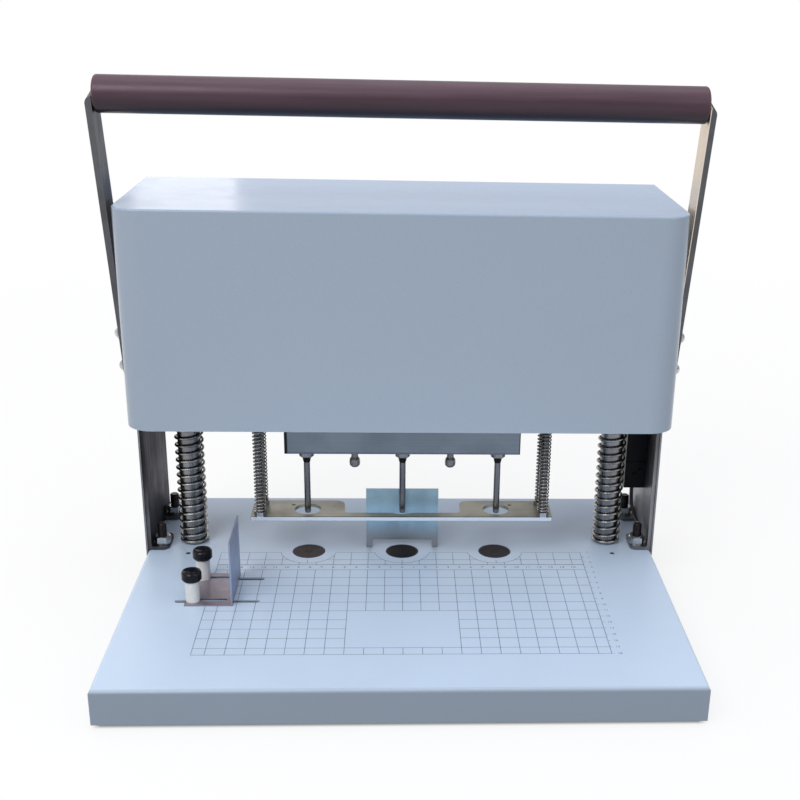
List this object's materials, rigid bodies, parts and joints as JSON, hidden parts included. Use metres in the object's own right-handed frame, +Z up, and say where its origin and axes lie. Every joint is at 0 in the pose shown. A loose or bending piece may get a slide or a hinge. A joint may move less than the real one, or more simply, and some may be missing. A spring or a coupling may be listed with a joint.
{
  "type": "paper drill",
  "caption": "Electric three-hole paper drill for the desk: side lever with a cross grip lowers a covered drill head on two sprung columns onto a ruled table.",
  "frame": {"origin": "on the desk, under the middle of the machine's outline", "axes": "+X to the right as the user faces it, +Y to the back, +Z up"},
  "size_m": [0.486, 0.355, 0.4375],
  "materials": {
    "table_paint": "satin powder coat",
    "cover_paint": "satin powder coat",
    "zinc_steel": "bright zinc plated",
    "ground_steel": "ground",
    "spring_steel": "bright wire",
    "tool_steel": "polished",
    "dark_steel": "black oxide",
    "black_plastic": "glossy",
    "box_plastic": "matt",
    "nylon": "natural nylon",
    "grip_maroon": "satin",
    "pad_brown": "worn",
    "foot_rubber": "matt",
    "belt_rubber": "matt",
    "motor_paint": "satin",
    "bronze": "sintered",
    "lead_black": "satin"
  },
  "bodies": {
    "frame": {"base_tray": "table_paint", "base_plate": "zinc_steel", "cutting_pads": "pad_brown", "rubber_feet": "foot_rubber", "side_bracket_left": "zinc_steel", "side_bracket_right": "zinc_steel", "side_panel_left": "cover_paint", "side_panel_right": "cover_paint", "bracket_studs": "dark_steel", "bracket_nuts": "zinc_steel", "column_left": "ground_steel", "column_right": "ground_steel", "column_nuts": "zinc_steel", "column_spring_left": "spring_steel", "column_spring_right": "spring_steel", "top_crossbar": "zinc_steel", "frame_screws": "zinc_steel", "head_cover": "cover_paint", "rear_cover": "cover_paint", "power_inlet": "black_plastic", "electrical_box": "box_plastic", "earth_lead": "lead_black", "hub_bushes": "bronze"},
    "carriage": {"carriage_plate": "zinc_steel", "guide_bushes": "bronze", "drill_box": "cover_paint", "spindle_housing": "ground_steel", "spindle_bearings": "ground_steel", "box_knobs": "zinc_steel", "drive_belts": "belt_rubber", "motor": "motor_paint", "racks": "ground_steel", "presser_springs": "spring_steel"},
    "left_spindle": {"spindle_left": "ground_steel", "drill_bit_left": "tool_steel", "pulley_left": "ground_steel"},
    "center_spindle": {"spindle_center": "ground_steel", "drill_bit_center": "tool_steel", "pulley_center": "ground_steel"},
    "right_spindle": {"spindle_right": "ground_steel", "drill_bit_right": "tool_steel", "pulley_right": "ground_steel"},
    "motor_rotor": {"motor_pulley": "ground_steel"},
    "presser": {"presser_plate": "zinc_steel", "presser_rods": "ground_steel", "presser_nuts": "zinc_steel"},
    "lever": {"lever_arm_left": "zinc_steel", "lever_arm_right": "zinc_steel", "lever_hubs": "zinc_steel", "pinions": "ground_steel", "arm_cap_nuts": "zinc_steel", "grip_core": "zinc_steel", "handle_grip": "grip_maroon"},
    "paper_side_guide": {"side_guide": "zinc_steel", "guide_spacers": "nylon", "guide_bolts": "zinc_steel"},
    "front_knob": {"guide_knob_front": "black_plastic"},
    "rear_knob": {"guide_knob_rear": "black_plastic"},
    "paper_back_gauge": {"back_gauge": "zinc_steel"},
    "back_gauge_knob": {"gauge_knob": "black_plastic"}
  },
  "joints": [
    {"name": "carriage_slide", "type": "slide", "parent": "frame", "child": "carriage", "axis": [0, 0, -1], "range_m": [0, 0.0376], "stiffness_N_per_m": 3700, "springref_m": -0.05, "deforming": ["column_spring_left", "column_spring_right"]},
    {"name": "lever_pivot", "type": "hinge", "parent": "frame", "child": "lever", "pos_m": [0, 0.0795, 0.21], "axis": [1, 0, 0], "range_deg": [0, 90]},
    {"name": "presser_slide", "type": "slide", "parent": "carriage", "child": "presser", "axis": [0, 0, 1], "range_m": [0, 0.0376], "stiffness_N_per_m": 1500, "springref_m": -0.015, "deforming": ["presser_springs"]},
    {"name": "center_spindle_spin", "type": "hinge", "parent": "carriage", "child": "center_spindle", "pos_m": [0, 0.0565, 0.19], "axis": [0, 0, 1], "continuous": true},
    {"name": "left_spindle_spin", "type": "hinge", "parent": "carriage", "child": "left_spindle", "pos_m": [-0.083, 0.0565, 0.19], "axis": [0, 0, 1], "continuous": true},
    {"name": "right_spindle_spin", "type": "hinge", "parent": "carriage", "child": "right_spindle", "pos_m": [0.083, 0.0565, 0.19], "axis": [0, 0, 1], "continuous": true},
    {"name": "motor_spin", "type": "hinge", "parent": "carriage", "child": "motor_rotor", "pos_m": [0, 0.1315, 0.19], "axis": [0, 0, 1], "continuous": true},
    {"name": "side_guide_slide", "type": "slide", "parent": "frame", "child": "paper_side_guide", "axis": [1, 0, 0], "range_m": [-0.012, 0.045]},
    {"name": "front_knob_turn", "type": "hinge", "parent": "paper_side_guide", "child": "front_knob", "pos_m": [-0.171, -0.0395, 0.045], "axis": [0, 0, 1], "range_deg": [0, 360]},
    {"name": "rear_knob_turn", "type": "hinge", "parent": "paper_side_guide", "child": "rear_knob", "pos_m": [-0.168, 0.001, 0.045], "axis": [0, 0, 1], "range_deg": [0, 360]},
    {"name": "back_gauge_slide", "type": "slide", "parent": "frame", "child": "paper_back_gauge", "axis": [0, 1, 0], "range_m": [0, 0.02]},
    {"name": "gauge_knob_turn", "type": "hinge", "parent": "frame", "child": "back_gauge_knob", "pos_m": [0, 0.1095, 0.045], "axis": [0, 0, 1], "range_deg": [0, 360]}
  ],
  "couplings": [
    {"joint": "lever_pivot", "follows": "carriage_slide", "rad_per_m": 41.667},
    {"joint": "left_spindle_spin", "follows": "center_spindle_spin", "ratio": 1},
    {"joint": "right_spindle_spin", "follows": "center_spindle_spin", "ratio": 1},
    {"joint": "motor_spin", "follows": "center_spindle_spin", "ratio": 1.6667}
  ]
}
